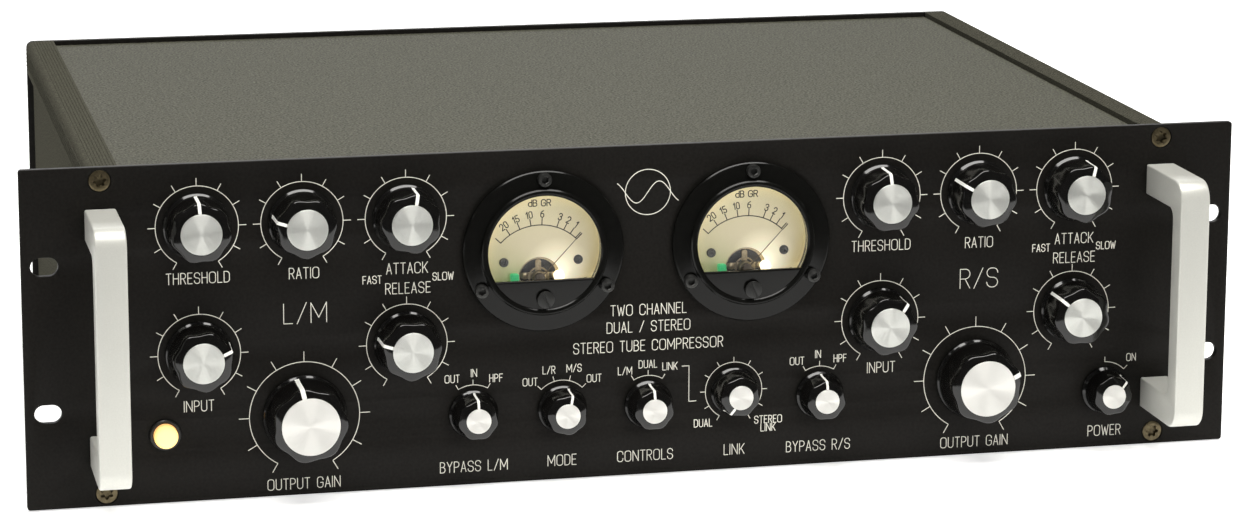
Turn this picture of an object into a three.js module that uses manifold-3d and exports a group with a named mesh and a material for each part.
// A two-channel rack compressor, three rack units high, as a three.js scene graph of closed solids.
//
// Millimetres. +X points right as seen from the front, +Y points to the rear and +Z points up.
// Inside the model the front face of the panel is the plane y = 0, x = 0 is the middle of the
// panel and z = 0 is its lower edge. The outer group then moves everything along Y, so that the
// origin is the bottom centre of the whole object's box.

import * as THREE from "three";
import { mergeVertices } from "three/addons/utils/BufferGeometryUtils.js";
import Module from "manifold-3d";

const wasm = await Module();
wasm.setup();

// ---------------------------------------------------------------- driving dimensions

const GAP = 0.3; // between pieces that touch

const PANEL = { width: 482.6, height: 132, thick: 3, corner: 1.2, relief: 0.2, reliefHalf: 216.6 };
const SLOT = { x: 232.55, z: 66, spacing: 57.15 / 2, length: 10.4, height: 7.2 };

const CASE = { half: 215.9, height: 131.2, rear: 300, wall: 2.5, corner: 3 };
const STRIP = { width: 12, recess: 2, ledge: 6, band: 14, slant: 3.5, inset: 2.5 };
const COVER = { thick: 1.5, edge: GAP };
const REAR = { thick: 3 };

const PANEL_SCREW = { x: 211.2, low: 5.2, head: 4, rim: 0.3, sunk: 2.2, shank: 1.7, length: 12 };
const SCREW_SET_BACK = 0.1; // how far the flat of a screw's head lies inside the panel's face
const BOSS = { width: 10, height: 12 };

const HANDLE = { x: 211.2, low: 16, high: 116, reach: 40, width: 12, leg: 12, bar: 9.5 };
const HANDLE_ROUND = { outer: 8, inner: 4, stud: 2.5, studEnd: 2.7 };

const METER = { x: 41.5, z: 92.3, flange: 31.7, flangeThick: 2.5, bezel: 25, bezelFront: 5.2 };
const METER_CAN = { outer: 24.6, inner: 22.8, depth: 26, back: 2, window: 22.2, chord: 12 };
const DIAL = { radius: 22.3, y: 6.5, thick: 0.8, cutout: 8 };
const NEEDLE = { pivot: -12, length: 23.5, y: 4.2, thick: 0.5, width: 0.7, hub: 2, rest: 43 };
const MOVEMENT = { width: 26, height: 16, front: 9, back: 22 };
const ZERO_SCREW = { drop: 18.4, head: 3.3, proud: 1.2, shank: 1.5, end: 1.5, slot: 0.9 };

const LAMP = { x: -188.6, z: 27, bezel: 6, bezelThick: 1, barrel: 4.8, depth: 20, lens: 4.6 };
const LAMP_FRONT = 5;

const SHAFT = { radius: 3, hole: 3.75, socket: 3.35, end: 11 };
const LOBES = 7; // flutes round every knob

// The three kinds of knob: skirt radius and height, body radius, depth of the flutes, whole height.
const KNOB = {
  small: { skirt: 9.8, skirtHigh: 2.6, body: 7.9, dip: 0.7, height: 12.7 },
  medium: { skirt: 13.2, skirtHigh: 3, body: 11.9, dip: 0.9, height: 15.2 },
  large: { skirt: 16.4, skirtHigh: 3.4, body: 14.8, dip: 1.1, height: 18 },
};
const KNOB_BACK = 0.8; // from the panel's face to the back of a knob
const KNOB_CHAMFER = 0.8; // on the front edge of the skirt

// Every control: its knob, the middle of its shaft, and where its pointer stands at rest, in
// degrees clockwise from straight up.
const CONTROLS = [
  { name: "threshold_left", knob: "medium", x: -175, z: 107.6, rest: -3 },
  { name: "ratio_left", knob: "medium", x: -135, z: 107.6, rest: -75 },
  { name: "attack_left", knob: "medium", x: -95, z: 107.6, rest: 12 },
  { name: "input_left", knob: "medium", x: -175, z: 57.8, rest: 70 },
  { name: "release_left", knob: "medium", x: -95, z: 57.8, rest: -75 },
  { name: "output_left", knob: "large", x: -135, z: 31.5, rest: -12 },
  { name: "bypass_left", knob: "small", x: -69.2, z: 28.5, rest: 0 },
  { name: "mode", knob: "small", x: -34, z: 28.5, rest: 15 },
  { name: "controls", knob: "small", x: 0.6, z: 28.5, rest: 0 },
  { name: "link", knob: "small", x: 35.3, z: 32, rest: -150 },
  { name: "bypass_right", knob: "small", x: 70.4, z: 28.5, rest: 0 },
  { name: "threshold_right", knob: "medium", x: 95, z: 107.6, rest: -3 },
  { name: "ratio_right", knob: "medium", x: 135, z: 107.6, rest: -60 },
  { name: "attack_right", knob: "medium", x: 175, z: 107.6, rest: 20 },
  { name: "input_right", knob: "medium", x: 95, z: 57.8, rest: 40 },
  { name: "release_right", knob: "medium", x: 175, z: 57.8, rest: -50 },
  { name: "output_right", knob: "large", x: 135, z: 31.5, rest: 70 },
  { name: "power", knob: "small", x: 190, z: 23.8, rest: 45 },
];

const BOARD = { half: 198, low: 12, high: 122, front: 13, thick: 1.6, pot: 8, lampHole: 7 };
const POT_FRONT = 3.4;
const POWER_SWITCH = { half: 10, depth: 26 };

const MAIN_BOARD = {
  x0: -184, x1: 86, y0: 40, y1: 200, z: 12, thick: 1.6, edge: 8, post: 3, socket: 11.5,
};
const SOCKET_HIGH = 7;
const TUBE = { radius: 10.5, height: 50, shoulder: 6, pip: 2, pipHigh: 3 };
const TUBE_PLACES = [
  [-160, 80],
  [-110, 80],
  [-160, 140],
  [-110, 140],
];
const TOROID = { x: 138, y: 200, outer: 45, inner: 10, height: 46, bolt: 4, plate: 18 };
const OUTPUT_TRANSFORMER = { x: [-20, 50], y: 120, width: 42, depth: 36, height: 34 };

const XLR = { x: [-160, -120, -60, -20], z: 70, width: 26, height: 31, flange: 1.6 };
const XLR_NAMES = [
  "input_socket_left",
  "input_socket_right",
  "output_socket_left",
  "output_socket_right",
];
const XLR_BODY = { outer: 11.4, inner: 9.4, depth: 22, floor: 4, pin: 1.1, pinCircle: 4, pinShort: 4 };
const INLET = { x: 150, z: 66, width: 48, height: 28, flange: 2, bodyWidth: 27, bodyHeight: 20 };
const INLET_CUP = { width: 23, height: 15.5, depth: 16, body: 20 };
const INLET_PIN = { width: 2, height: 4, length: 11, places: [[-7, -1], [0, 2.5], [7, -1]] };

const FRONT_REACH = GAP + HANDLE.reach;
const REAR_REACH = CASE.rear + GAP + INLET.flange;

// ---------------------------------------------------------------- materials

const finish = (color, roughness, metalness, more = {}) =>
  new THREE.MeshStandardMaterial({ color, roughness, metalness, ...more });

const MATERIALS = {
  panel: finish(0x1c1b19, 0.55, 0.2),
  profile: finish(0x3a3a36, 0.5, 0.6),
  cover: finish(0x45453f, 0.6, 0.3),
  handle: finish(0xd8d8d0, 0.35, 0.9),
  screw: finish(0x6e6146, 0.4, 0.9),
  meter: finish(0x0d0d0d, 0.25, 0.1),
  window: finish(0xe8eef0, 0.05, 0, { transparent: true, opacity: 0.3 }),
  dial: finish(0xe9e2c2, 0.7, 0, { emissive: 0x554422 }),
  needle: finish(0x201c18, 0.5, 0.2),
  movement: finish(0x8c7a55, 0.5, 0.6),
  knob: finish(0x0b0b0b, 0.2, 0),
  lamp: finish(0xffe9a8, 0.4, 0, { emissive: 0xffd880 }),
  board: finish(0x1d4a2c, 0.6, 0),
  tube: finish(0xcfd6d6, 0.1, 0, { transparent: true, opacity: 0.5 }),
  iron: finish(0x2a2a2c, 0.6, 0.5),
  plastic: finish(0x141414, 0.5, 0),
};

// ---------------------------------------------------------------- helpers

const v2 = (x, z) => new THREE.Vector2(x, z);
const rad = THREE.MathUtils.degToRad;

// Points of an arc round (x, z), from one angle to another in degrees, both ends included.
function arc(x, z, radius, from, to, steps) {
  return Array.from({ length: steps + 1 }, (_, i) => {
    const a = rad(from + ((to - from) * i) / steps);
    return v2(x + radius * Math.cos(a), z + radius * Math.sin(a));
  });
}

const circle = (x, z, radius, sides) => arc(x, z, radius, 0, 360, sides).slice(0, -1);

const rectangle = (x0, z0, x1, z1) => [v2(x0, z0), v2(x1, z0), v2(x1, z1), v2(x0, z1)];

function roundedRectangle(x0, z0, x1, z1, r, steps) {
  return [
    ...arc(x1 - r, z1 - r, r, 0, 90, steps),
    ...arc(x0 + r, z1 - r, r, 90, 180, steps),
    ...arc(x0 + r, z0 + r, r, 180, 270, steps),
    ...arc(x1 - r, z0 + r, r, 270, 360, steps),
  ];
}

// A slot with round ends, lying along X.
function obround(x, z, length, height, steps) {
  const r = height / 2;
  const side = length / 2 - r;
  return [...arc(x + side, z, r, -90, 90, steps), ...arc(x - side, z, r, 90, 270, steps)];
}

// A circle with everything below a level chord cut off. chord is how far it lies under the middle.
function chordDisc(x, z, radius, chord, steps) {
  const a = (Math.asin(chord / radius) * 180) / Math.PI;
  return arc(x, z, radius, -a, 180 + a, steps);
}

// An outline in X and Z as a flat plate from y0 to y1, with holes.
function plate(outline, y0, y1, holes = []) {
  const shape = new THREE.Shape(outline);
  shape.holes = holes.map((points) => new THREE.Path(points));
  const geometry = new THREE.ExtrudeGeometry(shape, { depth: y1 - y0, bevelEnabled: false });
  return geometry.rotateX(Math.PI / 2).translate(0, y1, 0);
}

// A profile of [radius, y] points turned round an axis along Y through (x, z).
function turned(profile, sides, x = 0, z = 0) {
  const points = profile.map(([r, y]) => v2(r, y));
  return new THREE.LatheGeometry(points, sides).translate(x, 0, z);
}

// A profile of [radius, z] points turned round an upright axis through (x, y).
function upright(profile, sides, x, y) {
  const points = profile.map(([r, z]) => v2(r, z));
  return new THREE.LatheGeometry(points, sides).rotateX(Math.PI / 2).translate(x, y, 0);
}

function box(x0, y0, z0, x1, y1, z1) {
  const geometry = new THREE.BoxGeometry(x1 - x0, y1 - y0, z1 - z0);
  return geometry.translate((x0 + x1) / 2, (y0 + y1) / 2, (z0 + z1) / 2);
}

// A three.js geometry as a solid that can be joined and cut. Turned shapes come out facing in
// when their profile runs the other way, so a solid with a negative volume is turned round.
function solid(geometry) {
  const bare = geometry.clone();
  bare.deleteAttribute("normal");
  bare.deleteAttribute("uv");
  const merged = mergeVertices(bare, 1e-4);
  const triVerts = [];
  const index = merged.index.array;
  for (let i = 0; i < index.length; i += 3) {
    const [a, b, c] = [index[i], index[i + 1], index[i + 2]];
    if (a !== b && b !== c && c !== a) triVerts.push(a, b, c);
  }
  const make = (tris) =>
    new wasm.Manifold(
      new wasm.Mesh({
        numProp: 3,
        vertProperties: Float32Array.from(merged.attributes.position.array),
        triVerts: Uint32Array.from(tris),
      }),
    );
  const made = make(triVerts);
  if (made.volume() > 0) return made;
  for (let i = 0; i < triVerts.length; i += 3) {
    [triVerts[i + 1], triVerts[i + 2]] = [triVerts[i + 2], triVerts[i + 1]];
  }
  return make(triVerts);
}

function geometryOf(manifold) {
  const mesh = manifold.getMesh();
  const geometry = new THREE.BufferGeometry();
  geometry.setAttribute("position", new THREE.BufferAttribute(mesh.vertProperties, 3));
  geometry.setIndex(new THREE.BufferAttribute(mesh.triVerts, 1));
  geometry.computeVertexNormals();
  return geometry;
}

// Joins the first list of geometries and cuts the second list away.
function shaped(joined, cut = []) {
  let made = solid(joined[0]);
  for (const piece of joined.slice(1)) made = made.add(solid(piece));
  for (const piece of cut) made = made.subtract(solid(piece));
  return geometryOf(made);
}

const model = new THREE.Group();

function addPiece(name, geometry, material, parent = model) {
  const mesh = new THREE.Mesh(geometry, MATERIALS[material].clone());
  mesh.name = name;
  parent.add(mesh);
  return mesh;
}

// ---------------------------------------------------------------- front panel

const screwPlaces = [-1, 1].flatMap((side) =>
  [PANEL_SCREW.low, CASE.height - PANEL_SCREW.low].map((z) => [side * PANEL_SCREW.x, z]),
);
const handleLegs = [HANDLE.low + HANDLE.leg / 2, HANDLE.high - HANDLE.leg / 2];

function frontPanel() {
  const outline = roundedRectangle(
    -PANEL.width / 2, 0, PANEL.width / 2, PANEL.height, PANEL.corner, 2,
  );
  const holes = [
    ...CONTROLS.map((c) => circle(c.x, c.z, SHAFT.hole, 10)),
    ...[-1, 1].map((side) => circle(side * METER.x, METER.z, METER_CAN.outer + 2 * GAP, 24)),
    circle(LAMP.x, LAMP.z, LAMP.barrel + 2 * GAP, 12),
  ];
  for (const side of [-1, 1]) {
    for (const level of [-1, 1]) {
      const z = SLOT.z + level * SLOT.spacing;
      holes.push(obround(side * SLOT.x, z, SLOT.length, SLOT.height, 5));
    }
    for (const z of handleLegs) {
      holes.push(circle(side * HANDLE.x, z, HANDLE_ROUND.stud + GAP, 10));
    }
  }
  const sinks = screwPlaces.map(([x, z]) => turned(screwProfile(GAP, PANEL.thick + 1), 16, x, z));
  // The back is relieved behind the case, so that the two ears have seats of their own.
  const h = PANEL.reliefHalf;
  const relief = box(-h, PANEL.thick - PANEL.relief, -1, h, PANEL.thick + 1, PANEL.height + 1);
  return shaped([plate(outline, 0, PANEL.thick, holes)], [...sinks, relief]);
}

// A countersunk screw: flat head in the front face, cone, then shank. room makes the hole for it.
function screwProfile(room, end) {
  const head = PANEL_SCREW.head + room;
  const shank = PANEL_SCREW.shank + room;
  const front = room > 0 ? -1 : SCREW_SET_BACK;
  return [
    [0, front],
    [head, front],
    [head, PANEL_SCREW.rim],
    [shank, PANEL_SCREW.rim + PANEL_SCREW.sunk],
    [shank, end],
    [0, end],
  ];
}

addPiece("front_panel", frontPanel(), "panel");
screwPlaces.forEach(([x, z]) => {
  const side = x < 0 ? "left" : "right";
  const level = z < PANEL.height / 2 ? "lower" : "upper";
  const end = PANEL.thick + PANEL_SCREW.length;
  addPiece(`panel_screw_${side}_${level}`, turned(screwProfile(0, end), 16, x, z), "screw");
});

// ---------------------------------------------------------------- case

const caseFront = PANEL.thick + GAP;
const caseBack = CASE.rear - REAR.thick - GAP;
const stripInner = CASE.half - STRIP.width;

// The section of the right side profile, from the top strip round the outside to the bottom strip
// and back up the inner wall. It is the same above and below its middle.
function profileSection() {
  const c = CASE;
  const ledgeTop = c.height - STRIP.recess - COVER.thick - GAP;
  const side = c.half - STRIP.inset;
  const upper = [
    v2(side, c.height - STRIP.band - STRIP.slant),
    v2(c.half, c.height - STRIP.band),
    ...arc(c.half - c.corner, c.height - c.corner, c.corner, 0, 90, 4),
    v2(stripInner, c.height),
    v2(stripInner, ledgeTop),
    v2(stripInner - STRIP.ledge, ledgeTop),
    v2(stripInner - STRIP.ledge, ledgeTop - 2),
    v2(PANEL_SCREW.x - BOSS.width / 2, ledgeTop - 2),
    v2(PANEL_SCREW.x - BOSS.width / 2, c.height - BOSS.height),
    v2(side - c.wall, c.height - BOSS.height - 3),
  ];
  const lower = upper.map((p) => v2(p.x, c.height - p.y)).reverse();
  return [...upper, ...lower];
}

function sideProfile(side) {
  const section = profileSection().map((p) => v2(side * p.x, p.y));
  const r = PANEL_SCREW.shank + GAP;
  const mouth = caseFront - 1;
  const end = PANEL.thick + PANEL_SCREW.length + 2;
  const bores = screwPlaces
    .filter(([x]) => Math.sign(x) === side)
    .map(([x, z]) => turned([[0, mouth], [r, mouth], [r, end], [0, end]], 12, x, z));
  return shaped([plate(section, caseFront, caseBack)], bores);
}

const coverHalf = stripInner - COVER.edge;
const coverTop = CASE.height - STRIP.recess;
const bottomCoverTop = STRIP.recess + COVER.thick;

addPiece("left_side_profile", sideProfile(-1), "profile");
addPiece("right_side_profile", sideProfile(1), "profile");
addPiece(
  "top_cover",
  box(-coverHalf, caseFront, coverTop - COVER.thick, coverHalf, caseBack, coverTop),
  "cover",
);
addPiece(
  "bottom_cover",
  box(-coverHalf, caseFront, STRIP.recess, coverHalf, caseBack, bottomCoverTop),
  "cover",
);

function rearPanel() {
  const outline = roundedRectangle(-CASE.half, 0, CASE.half, CASE.height, CASE.corner, 3);
  const w = INLET.bodyWidth / 2 + GAP;
  const h = INLET.bodyHeight / 2 + GAP;
  const holes = [
    ...XLR.x.map((x) => circle(x, XLR.z, XLR_BODY.outer + GAP, 20)),
    rectangle(INLET.x - w, INLET.z - h, INLET.x + w, INLET.z + h),
  ];
  return plate(outline, CASE.rear - REAR.thick, CASE.rear, holes);
}
addPiece("rear_panel", rearPanel(), "panel");

// ---------------------------------------------------------------- handles

// The side view of a handle in Y and Z: two legs and a bar, with rounded corners.
function handle(side) {
  const h = HANDLE;
  const r = HANDLE_ROUND;
  const front = -(GAP + h.reach);
  const inside = front + h.bar;
  const points = [
    v2(-GAP, h.high),
    ...arc(front + r.outer, h.high - r.outer, r.outer, 90, 180, 5),
    ...arc(front + r.outer, h.low + r.outer, r.outer, 180, 270, 5),
    v2(-GAP, h.low),
    v2(-GAP, h.low + h.leg),
    ...arc(inside + r.inner, h.low + h.leg + r.inner, r.inner, 270, 180, 3),
    ...arc(inside + r.inner, h.high - h.leg - r.inner, r.inner, 180, 90, 3),
    v2(-GAP, h.high - h.leg),
  ];
  const bar = new THREE.ExtrudeGeometry(new THREE.Shape(points), {
    depth: h.width,
    bevelEnabled: false,
  });
  // The outline's first axis becomes +Y, its second +Z, and its thickness lies along X.
  const basis = new THREE.Matrix4().makeBasis(
    new THREE.Vector3(0, 1, 0), new THREE.Vector3(0, 0, 1), new THREE.Vector3(1, 0, 0),
  );
  bar.applyMatrix4(basis).translate(side * h.x - h.width / 2, 0, 0);
  const studs = handleLegs.map((z) =>
    turned([[0, -1], [r.stud, -1], [r.stud, r.studEnd], [0, r.studEnd]], 10, side * h.x, z),
  );
  return shaped([bar, ...studs]);
}
addPiece("left_handle", handle(-1), "handle");
addPiece("right_handle", handle(1), "handle");

// ---------------------------------------------------------------- meters

// The housing: flange, raised bezel and can in one moulding. Its front is open above the chord.
function meterHousing() {
  const m = METER;
  const can = METER_CAN;
  const body = turned(
    [
      [0, -m.bezelFront],
      [m.bezel, -m.bezelFront],
      [m.bezel, -m.flangeThick - GAP],
      [m.flange, -m.flangeThick - GAP],
      [m.flange, -GAP],
      [can.outer, -GAP],
      [can.outer, can.depth],
      [0, can.depth],
    ], 32,
  );
  const hollow = turned(
    [
      [0, -m.bezelFront + can.back],
      [can.inner, -m.bezelFront + can.back],
      [can.inner, can.depth - can.back],
      [0, can.depth - can.back],
    ], 28,
  );
  const opening = plate(chordDisc(0, 0, can.window, can.chord, 24), -m.bezelFront - 1, 0);
  const screwHole = turned(
    [
      [0, -m.bezelFront - 1],
      [ZERO_SCREW.shank + GAP, -m.bezelFront - 1],
      [ZERO_SCREW.shank + GAP, 0],
      [0, 0],
    ], 10, 0, -ZERO_SCREW.drop,
  );
  return shaped([body], [hollow, opening, screwHole]);
}

function meterWindow() {
  const can = METER_CAN;
  const front = -METER.bezelFront + GAP;
  return plate(chordDisc(0, 0, can.window - GAP, can.chord - GAP, 24), front, front + 1.4);
}

function meterDial() {
  const outline = chordDisc(0, 0, DIAL.radius, METER_CAN.chord + 1.5, 24);
  const disc = plate(outline, DIAL.y, DIAL.y + DIAL.thick);
  const cut = plate(circle(0, NEEDLE.pivot, DIAL.cutout, 20), DIAL.y - 1, DIAL.y + DIAL.thick + 1);
  return shaped([disc], [cut]);
}

// The moving-coil instrument: a magnet block on feet that reach back to the can.
function meterMovement() {
  const m = MOVEMENT;
  const z = NEEDLE.pivot + 2;
  return box(-m.width / 2, m.front, z - m.height / 2, m.width / 2, m.back, z + m.height / 2);
}

// The needle stands straight up here. Its group turns it to its place at rest.
function needle() {
  const n = NEEDLE;
  const blade = [
    v2(-n.width / 2, 0),
    v2(n.width / 2, 0),
    v2(n.width / 4, n.length),
    v2(-n.width / 4, n.length),
  ];
  const hubFront = n.y - 0.4;
  const hubBack = MOVEMENT.front - GAP;
  const hub = turned([[0, hubFront], [n.hub, hubFront], [n.hub, hubBack], [0, hubBack]], 12);
  return shaped([plate(blade, n.y, n.y + n.thick), hub]);
}

function zeroScrew() {
  const s = ZERO_SCREW;
  const face = -METER.bezelFront;
  const body = turned(
    [
      [0, face - s.proud],
      [s.head, face - s.proud],
      [s.head, face - GAP],
      [s.shank, face - GAP],
      [s.shank, s.end],
      [0, s.end],
    ], 16,
  );
  const front = face - s.proud;
  const w = s.slot / 2;
  const slot = box(-w, front - 1, -s.head - 1, w, front + 0.6, s.head + 1);
  return shaped([body], [slot]);
}

for (const side of ["left", "right"]) {
  const meter = new THREE.Group();
  meter.position.set(side === "left" ? -METER.x : METER.x, 0, METER.z);
  model.add(meter);
  addPiece(`meter_${side}_housing`, meterHousing(), "meter", meter);
  addPiece(`meter_${side}_window`, meterWindow(), "window", meter);
  addPiece(`meter_${side}_dial`, meterDial(), "dial", meter);
  addPiece(`meter_${side}_movement`, meterMovement(), "movement", meter);
  const hand = addPiece(`meter_${side}_needle`, needle(), "needle", meter);
  hand.position.z = NEEDLE.pivot;
  hand.rotation.y = rad(NEEDLE.rest);
  const screw = addPiece(`meter_${side}_zero_screw`, zeroScrew(), "knob", meter);
  screw.position.z = -ZERO_SCREW.drop;
  screw.rotation.y = rad(-24);
}

// ---------------------------------------------------------------- pilot lamp

// The holder is a tube with a bezel; the lens sits in the step of its bore.
function lampHolder() {
  const l = LAMP;
  const front = -GAP - l.bezelThick;
  const body = turned(
    [
      [0, front],
      [l.bezel, front],
      [l.bezel, -GAP],
      [l.barrel, -GAP],
      [l.barrel, l.depth],
      [0, l.depth],
    ], 18, l.x, l.z,
  );
  const floor = -2 * GAP;
  const seatRadius = l.lens + GAP;
  const seat = turned(
    [[0, front - 1], [seatRadius, front - 1], [seatRadius, floor], [0, floor]], 18, l.x, l.z,
  );
  const boreRadius = l.lens - 1;
  const boreEnd = l.depth / 2;
  const bore = turned([[0, -1], [boreRadius, -1], [boreRadius, boreEnd], [0, boreEnd]], 12, l.x, l.z);
  return shaped([body], [seat, bore]);
}
addPiece("pilot_lamp_holder", lampHolder(), "plastic");
addPiece(
  "pilot_lamp_lens",
  turned(
    [
      [0, -LAMP_FRONT],
      [LAMP.lens - 0.5, -LAMP_FRONT],
      [LAMP.lens, -LAMP_FRONT + 0.8],
      [LAMP.lens, -3 * GAP],
      [0, -3 * GAP],
    ], 18, LAMP.x, LAMP.z,
  ),
  "lamp",
);

// ---------------------------------------------------------------- knobs

// A fluted outline: a circle whose radius dips between the lobes, with a lobe at the pointer.
function lobed(radius, dip) {
  const steps = LOBES * 3;
  return Array.from({ length: steps }, (_, i) => {
    const turn = (i / steps) * 2 * Math.PI;
    const r = radius - (dip * (1 - Math.cos(LOBES * turn))) / 2;
    return v2(r * Math.sin(turn), r * Math.cos(turn));
  }).reverse();
}

// A knob with its shaft: a round skirt, a fluted body, and the shaft that goes through the panel
// into its potentiometer or switch.
function knob(kind) {
  const k = KNOB[kind];
  const back = -KNOB_BACK;
  const skirtFront = back - k.skirtHigh;
  const inside = back - 1;
  const skirt = turned(
    [
      [0, skirtFront],
      [k.skirt - KNOB_CHAMFER, skirtFront],
      [k.skirt, inside],
      [k.skirt, back],
      [0, back],
    ], 20,
  );
  const body = plate(lobed(k.body, k.dip), -k.height, inside);
  const r = SHAFT.radius;
  const shaft = turned([[0, inside], [r, inside], [r, SHAFT.end], [0, SHAFT.end]], 8);
  return shaped([skirt, body, shaft]);
}

for (const control of CONTROLS) {
  const piece = addPiece(`${control.name}_knob`, knob(control.knob), "knob");
  piece.position.set(control.x, 0, control.z);
  piece.rotation.y = rad(control.rest);
}

// ---------------------------------------------------------------- behind the panel

// The control board with every potentiometer and rotary switch on it. The mains switch is apart.
function controlBoard() {
  const b = BOARD;
  const inside = CONTROLS.filter((c) => c.name !== "power");
  const power = CONTROLS.find((c) => c.name === "power");
  const reach = POWER_SWITCH.half + 2;
  const holes = [
    ...[-1, 1].map((side) => circle(side * METER.x, METER.z, METER_CAN.outer + 2, 24)),
    circle(LAMP.x, LAMP.z, b.lampHole, 12),
  ];
  const outline = [
    v2(-b.half, b.low),
    v2(power.x - reach, b.low),
    v2(power.x - reach, power.z + reach),
    v2(b.half, power.z + reach),
    v2(b.half, b.high),
    v2(-b.half, b.high),
  ];
  const board = plate(outline, b.front, b.front + b.thick, holes);
  const bodies = inside.map((c) =>
    box(c.x - b.pot, POT_FRONT, c.z - b.pot, c.x + b.pot, b.front + 0.5, c.z + b.pot),
  );
  const sockets = inside.map((c) =>
    plate(circle(c.x, c.z, SHAFT.socket, 10), POT_FRONT - 1, SHAFT.end + GAP),
  );
  return shaped([board, ...bodies], sockets);
}
addPiece("control_board", controlBoard(), "board");

function powerSwitch() {
  const { x, z } = CONTROLS.find((c) => c.name === "power");
  const s = POWER_SWITCH;
  const body = box(x - s.half, POT_FRONT, z - s.half, x + s.half, s.depth, z + s.half);
  return shaped([body], [plate(circle(x, z, SHAFT.socket, 10), POT_FRONT - 1, SHAFT.end + GAP)]);
}
addPiece("power_switch", powerSwitch(), "plastic");

// ---------------------------------------------------------------- inside the case

function mainBoard() {
  const b = MAIN_BOARD;
  const board = box(b.x0, b.y0, b.z, b.x1, b.y1, b.z + b.thick);
  const foot = bottomCoverTop + GAP;
  const inside = b.z + b.thick / 2;
  const posts = [b.x0 + b.edge, b.x1 - b.edge].flatMap((x) =>
    [b.y0 + b.edge, b.y1 - b.edge].map((y) =>
      upright([[0, foot], [b.post, foot], [b.post, inside], [0, inside]], 8, x, y),
    ),
  );
  const top = b.z + b.thick + SOCKET_HIGH;
  const sockets = TUBE_PLACES.map(([x, y]) =>
    upright([[0, inside], [b.socket, inside], [b.socket, top], [0, top]], 14, x, y),
  );
  return shaped([board, ...posts, ...sockets]);
}
addPiece("main_board", mainBoard(), "board");

TUBE_PLACES.forEach(([x, y], i) => {
  const low = MAIN_BOARD.z + MAIN_BOARD.thick + SOCKET_HIGH + GAP;
  const high = low + TUBE.height;
  const profile = [
    [0, low],
    [TUBE.radius, low],
    [TUBE.radius, high - TUBE.shoulder],
    [TUBE.radius * 0.7, high - TUBE.shoulder / 4],
    [TUBE.pip, high],
    [0, high + TUBE.pipHigh],
  ];
  addPiece(`tube_${i + 1}`, upright(profile, 12, x, y), "tube");
});

const toroidLow = bottomCoverTop + GAP;
addPiece(
  "mains_transformer",
  upright(
    [
      [TOROID.inner, toroidLow],
      [TOROID.outer, toroidLow],
      [TOROID.outer, toroidLow + TOROID.height],
      [TOROID.inner, toroidLow + TOROID.height],
      [TOROID.inner, toroidLow],
    ], 20, TOROID.x, TOROID.y,
  ),
  "iron",
);
addPiece(
  "transformer_bolt",
  upright(
    [
      [0, toroidLow],
      [TOROID.bolt, toroidLow],
      [TOROID.bolt, toroidLow + TOROID.height + GAP],
      [TOROID.plate, toroidLow + TOROID.height + GAP],
      [TOROID.plate, toroidLow + TOROID.height + 2.5],
      [0, toroidLow + TOROID.height + 2.5],
    ], 14, TOROID.x, TOROID.y,
  ),
  "screw",
);
OUTPUT_TRANSFORMER.x.forEach((x, i) => {
  const t = OUTPUT_TRANSFORMER;
  const low = MAIN_BOARD.z + MAIN_BOARD.thick + GAP;
  addPiece(
    `output_transformer_${i === 0 ? "left" : "right"}`,
    box(x - t.width / 2, t.y - t.depth / 2, low, x + t.width / 2, t.y + t.depth / 2, low + t.height),
    "iron",
  );
});

// ---------------------------------------------------------------- rear connectors

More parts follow.
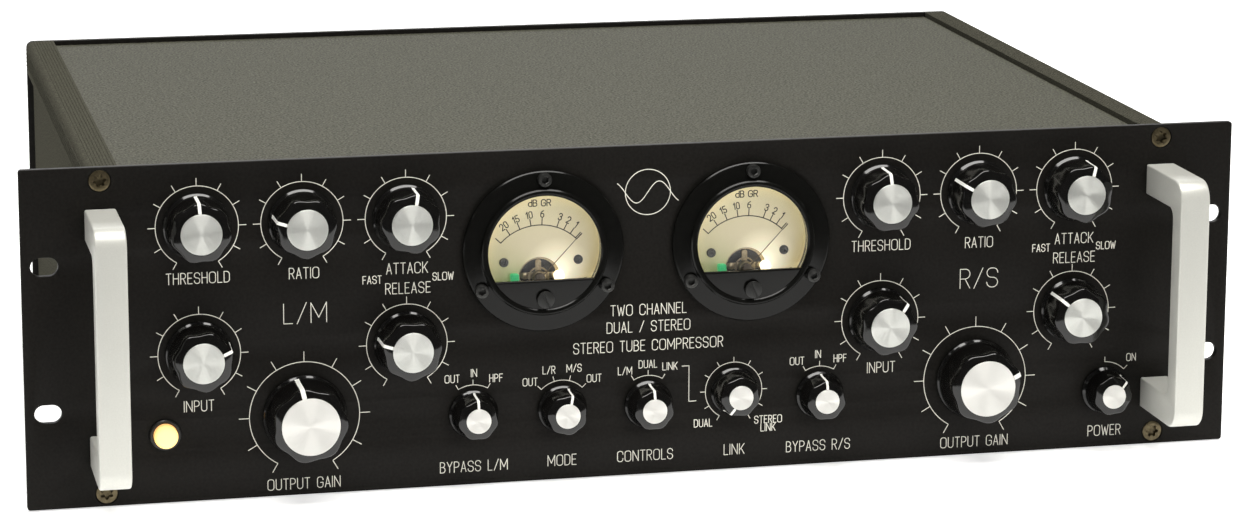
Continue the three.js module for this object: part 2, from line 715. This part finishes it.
// A round three-pin socket: a flange on the rear face and a cup that reaches into the case.
function roundSocket(x) {
  const c = XLR_BODY;
  const face = CASE.rear + GAP;
  const back = face - c.depth;
  const w = XLR.width / 2;
  const h = XLR.height / 2;
  const outline = roundedRectangle(x - w, XLR.z - h, x + w, XLR.z + h, 2, 2);
  const flange = plate(outline, face, face + XLR.flange);
  const joint = face + XLR.flange / 2;
  const barrel = turned([[0, back], [c.outer, back], [c.outer, joint], [0, joint]], 20, x, XLR.z);
  const floor = back + c.floor;
  const past = face + 2 * XLR.flange;
  const cup = turned([[0, floor], [c.inner, floor], [c.inner, past], [0, past]], 20, x, XLR.z);
  const pinEnd = face - c.pinShort;
  const pins = [90, 210, 330].map((a) => {
    const px = x + c.pinCircle * Math.cos(rad(a));
    const pz = XLR.z + c.pinCircle * Math.sin(rad(a));
    return turned([[0, back + 1], [c.pin, back + 1], [c.pin, pinEnd], [0, pinEnd]], 8, px, pz);
  });
  let made = solid(flange).add(solid(barrel)).subtract(solid(cup));
  for (const pin of pins) made = made.add(solid(pin));
  return geometryOf(made);
}
XLR.x.forEach((x, i) => addPiece(XLR_NAMES[i], roundSocket(x), "plastic"));

function mainsInlet() {
  const n = INLET;
  const c = INLET_CUP;
  const face = CASE.rear + GAP;
  const halfWidth = n.width / 2;
  const halfHeight = n.height / 2;
  const outline = roundedRectangle(
    n.x - halfWidth, n.z - halfHeight, n.x + halfWidth, n.z + halfHeight, 5, 3,
  );
  const flange = plate(outline, face, face + n.flange);
  const w = n.bodyWidth / 2;
  const h = n.bodyHeight / 2;
  const body = box(n.x - w, face - c.body, n.z - h, n.x + w, face + 0.5, n.z + h);
  const cup = box(
    n.x - c.width / 2, face + n.flange - c.depth, n.z - c.height / 2,
    n.x + c.width / 2, face + n.flange + 5, n.z + c.height / 2,
  );
  const p = INLET_PIN;
  const pins = p.places.map(([px, pz]) => box(
    n.x + px - p.width / 2, face - c.depth, n.z + pz - p.height / 2,
    n.x + px + p.width / 2, face - c.depth + p.length, n.z + pz + p.height / 2,
  ));
  let made = solid(flange).add(solid(body)).subtract(solid(cup));
  for (const pin of pins) made = made.add(solid(pin));
  return geometryOf(made);
}
addPiece("mains_inlet", mainsInlet(), "plastic");

// ---------------------------------------------------------------- the whole object

const rackCompressor = new THREE.Group();
rackCompressor.name = "rack_compressor";
model.position.y = (FRONT_REACH - REAR_REACH) / 2;
rackCompressor.add(model);

export default rackCompressor;
